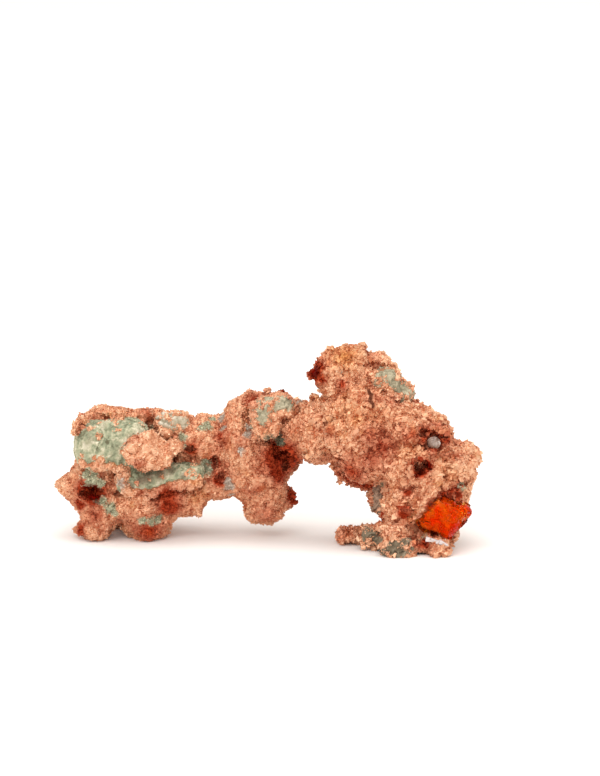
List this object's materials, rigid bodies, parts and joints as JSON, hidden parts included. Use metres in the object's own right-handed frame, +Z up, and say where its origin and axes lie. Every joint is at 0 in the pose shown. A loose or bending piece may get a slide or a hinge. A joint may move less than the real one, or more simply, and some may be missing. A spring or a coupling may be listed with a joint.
{
  "type": "native copper nugget",
  "caption": "Natural branching nugget of native copper holding scraps of green host rock and a small calcite crystal, standing on its own rough feet.",
  "frame": {"origin": "on the surface it rests on, under the middle of its bounding box", "axes": "+X along the row of lobes towards the tall end, -Y out of the show face, +Z up"},
  "size_m": [0.0366, 0.0168, 0.0173],
  "materials": {
    "native_copper": "raw crystalline copper, bright on the grain tips and dark red in the hollows",
    "green_matrix": "dull granular altered rock, sage green",
    "grey_matrix": "dull granular rock, grey-green",
    "brown_matrix": "dull granular rock, grey-brown",
    "milky_quartz": "translucent milky quartz, slightly glossy",
    "clear_calcite": "clear calcite over copper, glassy cleavage faces"
  },
  "bodies": {
    "root": {"copper_mass": "native_copper", "green_matrix_left": "green_matrix", "quartz_cap_left": "milky_quartz", "matrix_band_middle": "grey_matrix", "matrix_upper_right": "grey_matrix", "matrix_leg_right": "brown_matrix", "matrix_foot_right": "grey_matrix", "calcite_crystal": "clear_calcite", "quartz_bead": "milky_quartz"}
  },
  "joints": []
}
